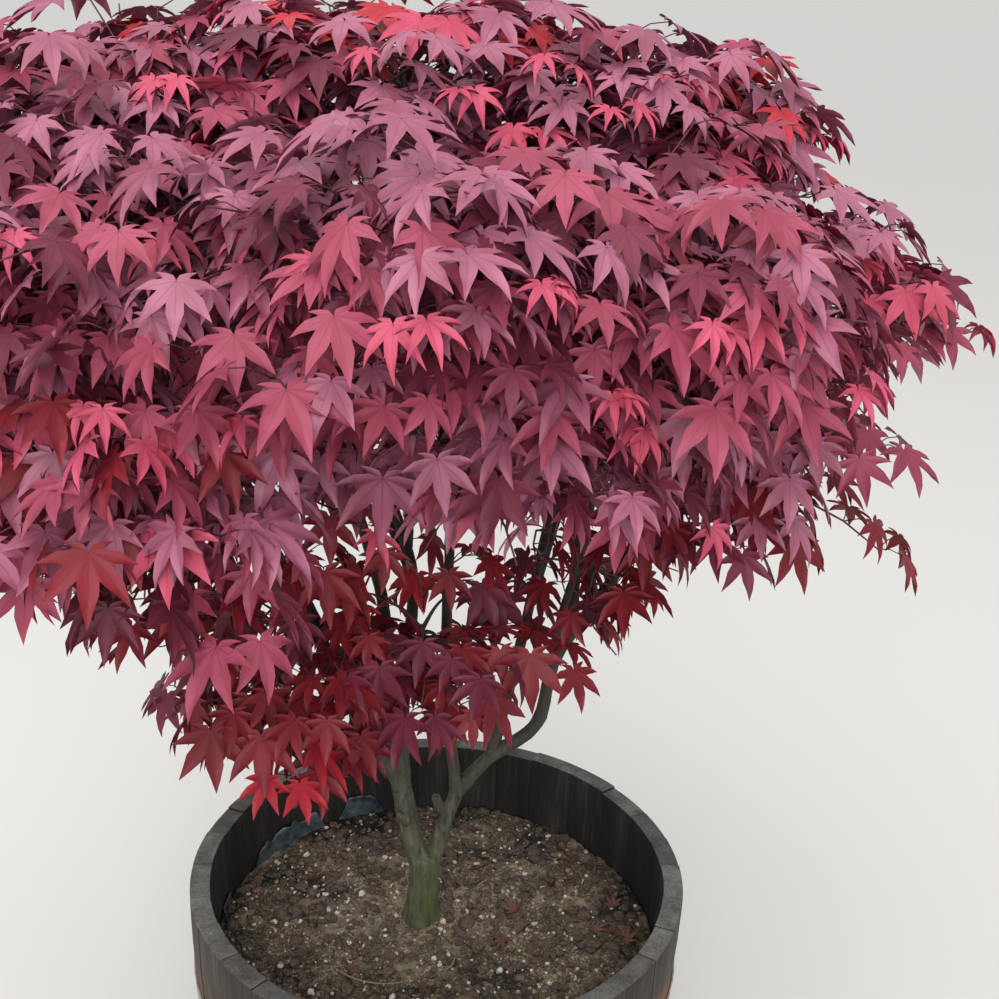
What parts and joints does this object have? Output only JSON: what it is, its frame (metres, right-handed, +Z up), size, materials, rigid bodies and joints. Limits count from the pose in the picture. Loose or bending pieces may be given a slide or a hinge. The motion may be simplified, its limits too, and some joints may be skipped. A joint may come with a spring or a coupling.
{
  "type": "potted japanese maple",
  "caption": "Small tree of several stems with a dome of lobed purple-pink leaves, planted in a half oak barrel with steel hoops, for a patio.",
  "frame": {"origin": "on the paving, under the middle of the whole plant's bounding box", "axes": "+Z up, +X to the right and -Y towards the viewer of the picture"},
  "size_m": [1.2706, 1.0714, 1.4254],
  "materials": {
    "leaves": "matt, purple-pink above and wine red below",
    "bark": "smooth grey-green bark with moss low down",
    "oak_staves": "weathered dark oak, rust stained over the hoops",
    "oak_head": "weathered dark oak",
    "hoop_steel": "dull galvanised steel with rust at the edges",
    "potting_soil": "damp crumbly soil with pale grit and moss",
    "liner_film": "creased dark film"
  },
  "bodies": {
    "root": {"barrel_head": "oak_head", "bilge_hoop": "hoop_steel", "bough_back_left": "bark", "bough_back_low_left": "bark", "bough_back_low_right": "bark", "bough_back_middle": "bark", "bough_back_right": "bark", "bough_crown_top": "bark", "bough_front_left": "bark", "bough_front_right": "bark", "bough_front_upper_left": "bark", "bough_front_upper_middle": "bark", "bough_front_upper_right": "bark", "bough_left_lower": "bark", "bough_left_upper": "bark", "bough_right_lower": "bark", "bough_right_upper": "bark", "bough_skirt_centre": "bark", "bough_skirt_left": "bark", "bough_skirt_right": "bark", "bough_top_left": "bark", "bough_top_right": "bark", "head_hoop": "hoop_steel", "leaves_back_left": "leaves", "leaves_back_low_left": "leaves", "leaves_back_low_right": "leaves", "leaves_back_middle": "leaves", "leaves_back_right": "leaves", "leaves_crown_top": "leaves", "leaves_front_left": "leaves", "leaves_front_right": "leaves", "leaves_front_upper_left": "leaves", "leaves_front_upper_middle": "leaves", "leaves_front_upper_right": "leaves", "leaves_left_lower": "leaves", "leaves_left_upper": "leaves", "leaves_right_lower": "leaves", "leaves_right_upper": "leaves", "leaves_skirt_centre": "leaves", "leaves_skirt_left": "leaves", "leaves_skirt_right": "leaves", "leaves_top_left": "leaves", "leaves_top_right": "leaves", "liner_film": "liner_film", "quarter_hoop": "hoop_steel", "soil": "potting_soil", "staves_01": "oak_staves", "staves_02": "oak_staves", "staves_03": "oak_staves", "staves_04": "oak_staves", "staves_05": "oak_staves", "staves_06": "oak_staves", "staves_07": "oak_staves", "staves_08": "oak_staves", "staves_09": "oak_staves", "staves_10": "oak_staves", "stem_left": "bark", "stem_right": "bark", "trunk": "bark"}
  },
  "joints": []
}
